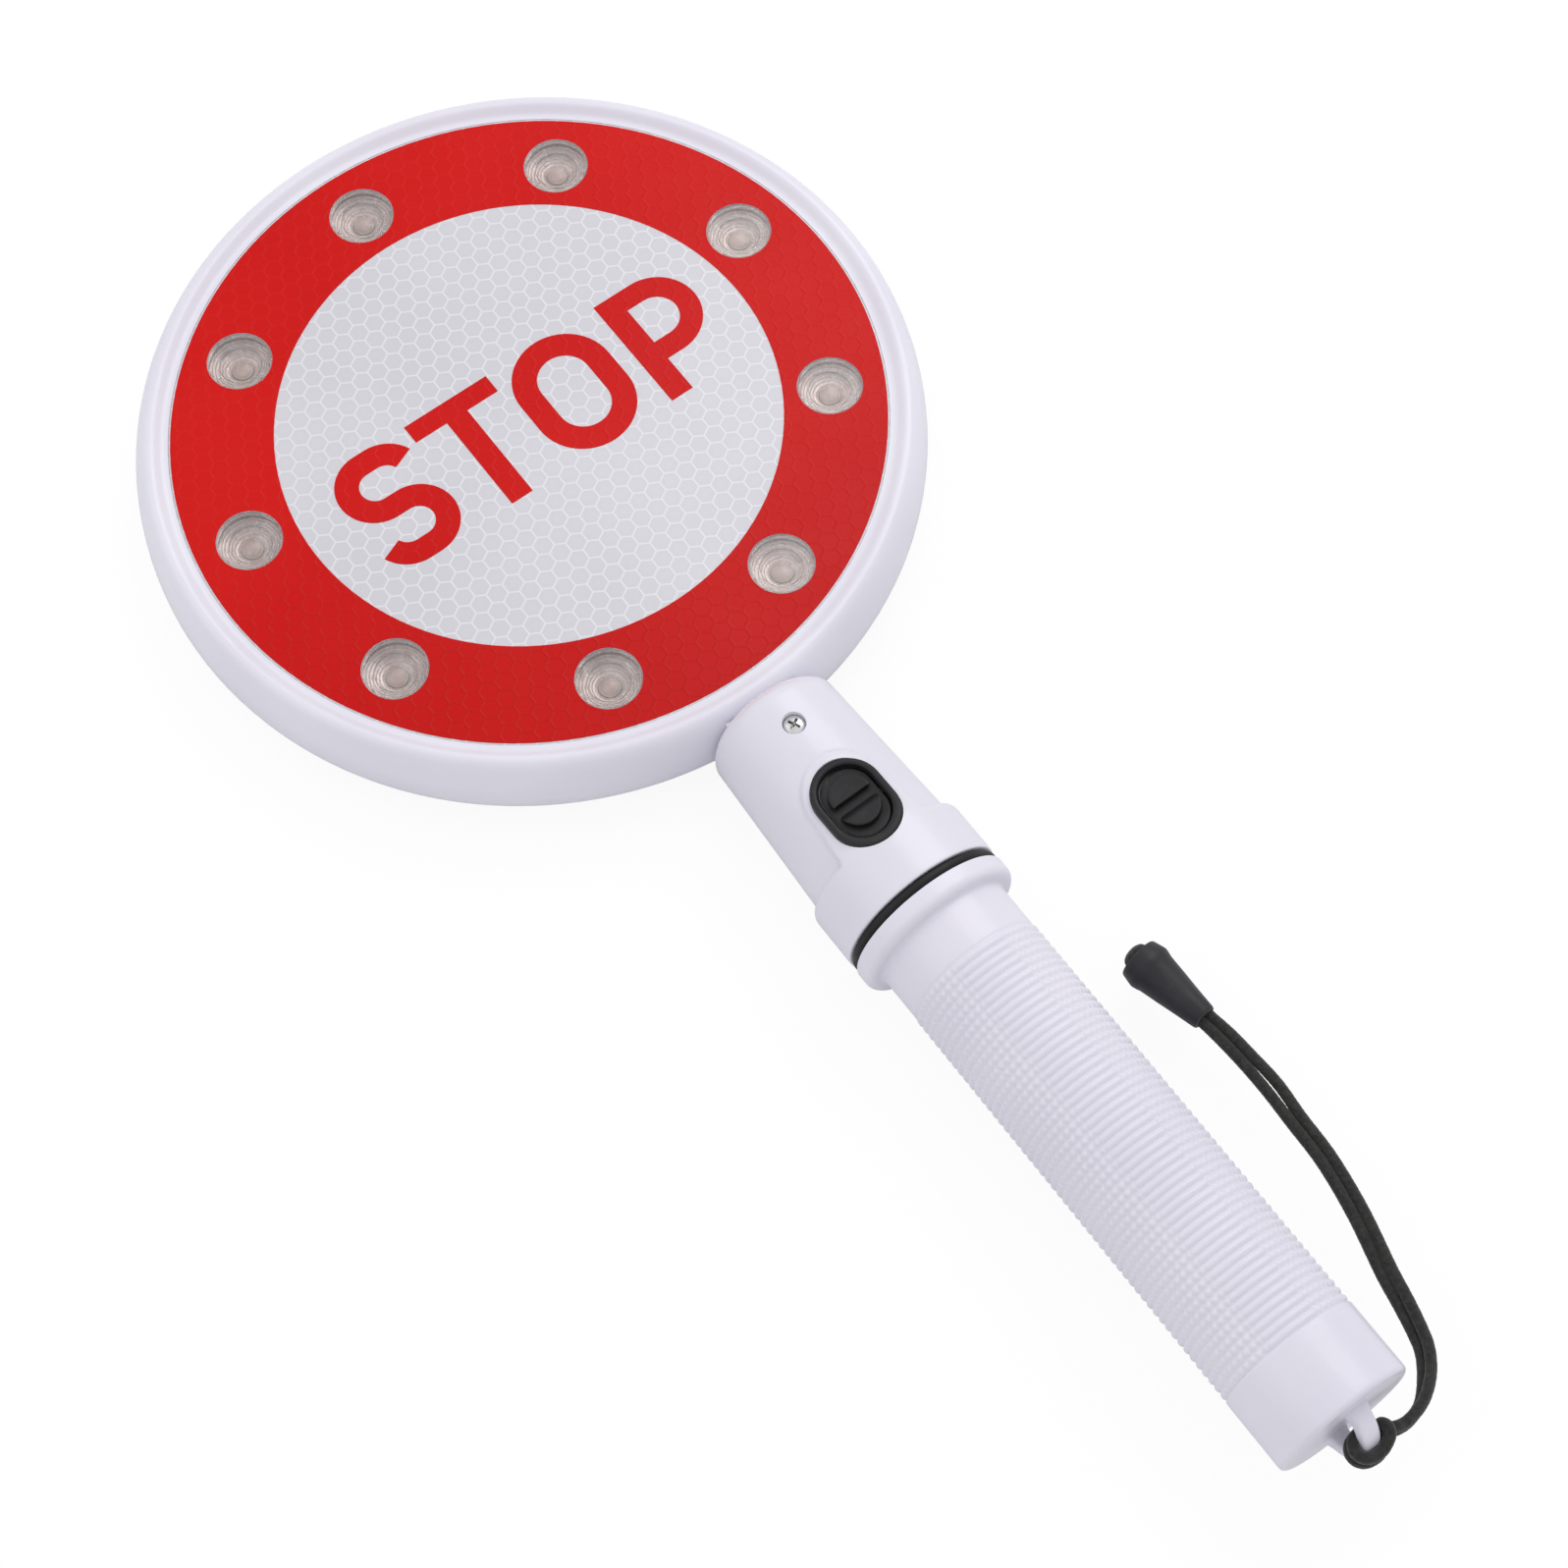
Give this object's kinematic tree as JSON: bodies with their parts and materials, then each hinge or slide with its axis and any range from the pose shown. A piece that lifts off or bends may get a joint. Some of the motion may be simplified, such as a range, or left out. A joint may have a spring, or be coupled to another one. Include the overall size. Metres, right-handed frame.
{
  "type": "stop slow paddle",
  "caption": "Hand-held traffic paddle: lit disc with a reflective face on each side, neck with rocker switch, screw-on ribbed battery handle, wrist cord.",
  "frame": {"origin": "centre of the front reflective sheet, on its outer face", "axes": "+Z out of the front (STOP) face, +Y from the handle towards the top of the disc, +X to the right when the front face is read upright"},
  "size_m": [0.18, 0.3893, 0.039],
  "materials": {
    "white_shell": "satin gloss ABS",
    "white_grip": "satin gloss ABS",
    "white_sheeting": "honeycomb retroreflective sheeting",
    "red_film": "coloured transparent film",
    "amber_film": "coloured transparent film",
    "clear_lens": "clear acrylic",
    "reflector": "vacuum-metallised cup",
    "led_red": "clear epoxy",
    "led_amber": "clear epoxy",
    "circuit_board": "solder mask",
    "black_component": "moulded",
    "plated_steel": "nickel plated",
    "bright_steel": "plated",
    "brass": "stamped",
    "black_plastic": "fine matte",
    "black_rocker": "soft matte",
    "black_rubber": "moulded rubber",
    "cell_jacket": "plain printed jacket",
    "wire_red": "insulation",
    "wire_black": "insulation",
    "black_cord": "braided polyester"
  },
  "bodies": {
    "head": {"front_shell": "white_shell", "rear_shell": "white_shell", "front_sheet": "white_sheeting", "rear_sheet": "white_sheeting", "front_legend": "red_film", "rear_legend": "amber_film", "front_lenses": "clear_lens", "rear_lenses": "clear_lens", "front_reflectors": "reflector", "rear_reflectors": "reflector", "front_leds": "led_red", "rear_leds": "led_amber", "led_ring_board": "circuit_board", "led_resistors": "black_component", "neck_housing": "white_shell", "neck_screw": "plated_steel", "switch_bezel": "black_plastic", "switch_housing": "black_plastic", "rocker_pin": "bright_steel", "switch_terminals": "brass", "flasher_board": "circuit_board", "flasher_chips": "black_component", "sealing_ring": "black_rubber", "contact_carrier": "black_plastic", "positive_contact": "brass", "negative_band": "brass", "battery_wire": "wire_red", "switch_wire": "wire_red", "return_wire": "wire_black"},
    "rocker": {"switch_rocker": "black_rocker"},
    "battery_stack": {"upper_cell": "cell_jacket", "upper_cell_cap": "bright_steel", "lower_cell": "cell_jacket", "lower_cell_cap": "bright_steel"},
    "handle": {"handle_tube": "white_grip", "negative_strip": "brass", "battery_spring": "bright_steel"},
    "lanyard_near": {"cord_hitch": "black_cord", "cord_near": "black_cord"},
    "lanyard_far": {"cord_far": "black_cord", "cord_bell": "black_plastic", "cord_knot": "black_cord"}
  },
  "joints": [
    {"name": "switch_rock", "type": "hinge", "parent": "head", "child": "rocker", "pos_m": [0, -0.12469, 0.00661], "axis": [1, 0, 0], "range_deg": [-7, 7]},
    {"name": "handle_advance", "type": "slide", "parent": "head", "child": "battery_stack", "axis": [0, -1, 0], "range_m": [0, 0.0075]},
    {"name": "handle_unscrew", "type": "hinge", "parent": "battery_stack", "child": "handle", "pos_m": [0, -0.22, -0.0071], "axis": [0, -1, 0], "range_deg": [0, 900.5]},
    {"name": "lanyard_swing", "type": "hinge", "parent": "handle", "child": "lanyard_near", "pos_m": [0, -0.2936, -0.0071], "axis": [0.2079, 0, 0.9781], "range_deg": [-170, 0], "stiffness_Nm_per_rad": 0.006},
    {"name": "cord_bend", "type": "hinge", "parent": "lanyard_near", "child": "lanyard_far", "pos_m": [0.0248, -0.2816, -0.013], "axis": [0, 0, 1], "range_deg": [-95, 0], "stiffness_Nm_per_rad": 0.004}
  ],
  "couplings": [
    {"joint": "handle_unscrew", "follows": "handle_advance", "rad_per_m": 2094.4}
  ]
}
